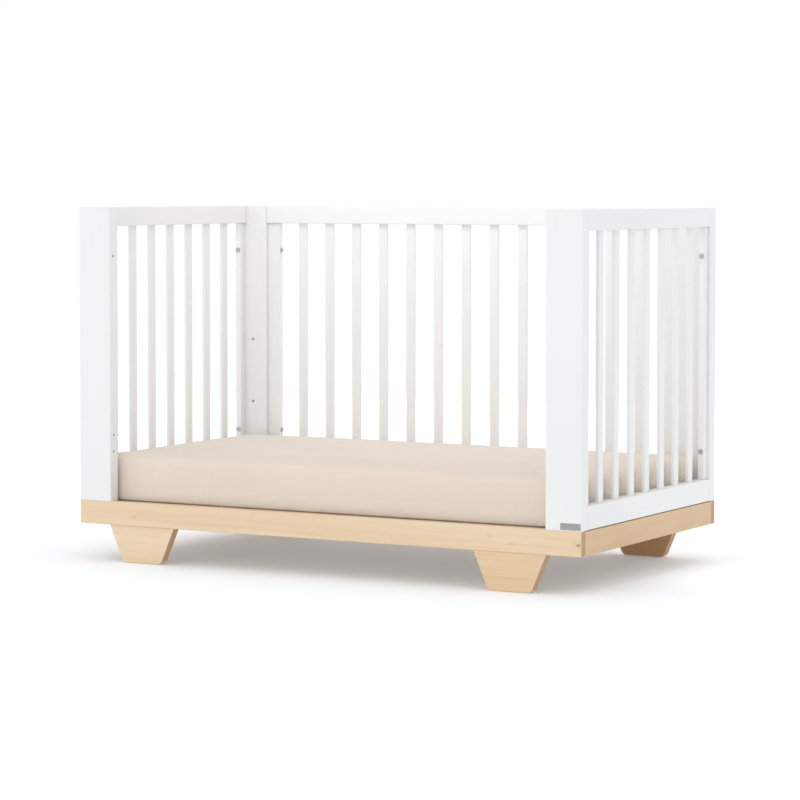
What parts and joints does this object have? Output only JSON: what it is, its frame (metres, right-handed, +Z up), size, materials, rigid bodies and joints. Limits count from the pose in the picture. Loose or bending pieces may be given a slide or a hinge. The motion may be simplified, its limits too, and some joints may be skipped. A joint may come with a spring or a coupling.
{
  "type": "baby crib",
  "caption": "Slatted baby crib as a day bed: white posts and panels on a pale wood base with tapered plate feet, open front, firm mattress.",
  "frame": {"origin": "middle of the footprint, on the floor under the feet", "axes": "+Z up, +X along the length to the right, +Y from the open front to the back panel"},
  "size_m": [1.396, 0.77, 0.885],
  "materials": {
    "white_wood": "painted white, satin",
    "natural_wood": "clear lacquer, matt",
    "bolt_steel": "zinc plated",
    "dowel_wood": "unfinished",
    "glide_plastic": "matt",
    "label_metal": "satin, blank",
    "mattress_cover": "woven cotton",
    "bracket_steel": "powder coated, matt",
    "platform_wood": "unfinished",
    "insert_steel": "zinc plated, matt"
  },
  "bodies": {
    "root": {"back_bottom_rail": "white_wood", "back_end_stiles": "white_wood", "back_slat_01": "white_wood", "back_slat_02": "white_wood", "back_slat_03": "white_wood", "back_slat_04": "white_wood", "back_slat_05": "white_wood", "back_slat_06": "white_wood", "back_slat_07": "white_wood", "back_slat_08": "white_wood", "back_slat_09": "white_wood", "back_slat_10": "white_wood", "back_slat_11": "white_wood", "back_slat_12": "white_wood", "back_slat_13": "white_wood", "back_top_rail": "white_wood", "base_back_rail": "natural_wood", "base_bolts": "bolt_steel", "base_cleats": "natural_wood", "base_front_rail": "natural_wood", "base_left_rail": "natural_wood", "base_right_rail": "natural_wood", "corner_dowels": "dowel_wood", "foot_back_left": "natural_wood", "foot_back_right": "natural_wood", "foot_front_left": "natural_wood", "foot_front_right": "natural_wood", "foot_glides": "glide_plastic", "foot_studs": "bolt_steel", "label_plate": "label_metal", "left_bottom_rail": "white_wood", "left_end_stiles": "white_wood", "left_slat_1": "white_wood", "left_slat_2": "white_wood", "left_slat_3": "white_wood", "left_slat_4": "white_wood", "left_slat_5": "white_wood", "left_slat_6": "white_wood", "left_slat_7": "white_wood", "left_top_rail": "white_wood", "panel_bolts": "bolt_steel", "post_back_left": "white_wood", "post_back_right": "white_wood", "post_front_left": "white_wood", "post_front_right": "white_wood", "right_bottom_rail": "white_wood", "right_end_stiles": "white_wood", "right_slat_1": "white_wood", "right_slat_2": "white_wood", "right_slat_3": "white_wood", "right_slat_4": "white_wood", "right_slat_5": "white_wood", "right_slat_6": "white_wood", "right_slat_7": "white_wood", "right_top_rail": "white_wood", "threaded_inserts": "insert_steel"},
    "platform": {"platform_frame": "platform_wood", "platform_slats": "platform_wood", "platform_brackets": "bracket_steel"},
    "mattress": {"mattress": "mattress_cover"}
  },
  "joints": [
    {"name": "mattress_height", "type": "slide", "parent": "root", "child": "platform", "axis": [0, 0, 1], "range_m": [0, 0.339]},
    {"name": "mattress_lift", "type": "slide", "parent": "platform", "child": "mattress", "axis": [0, 0, 1], "range_m": [0, 0.76]}
  ]
}
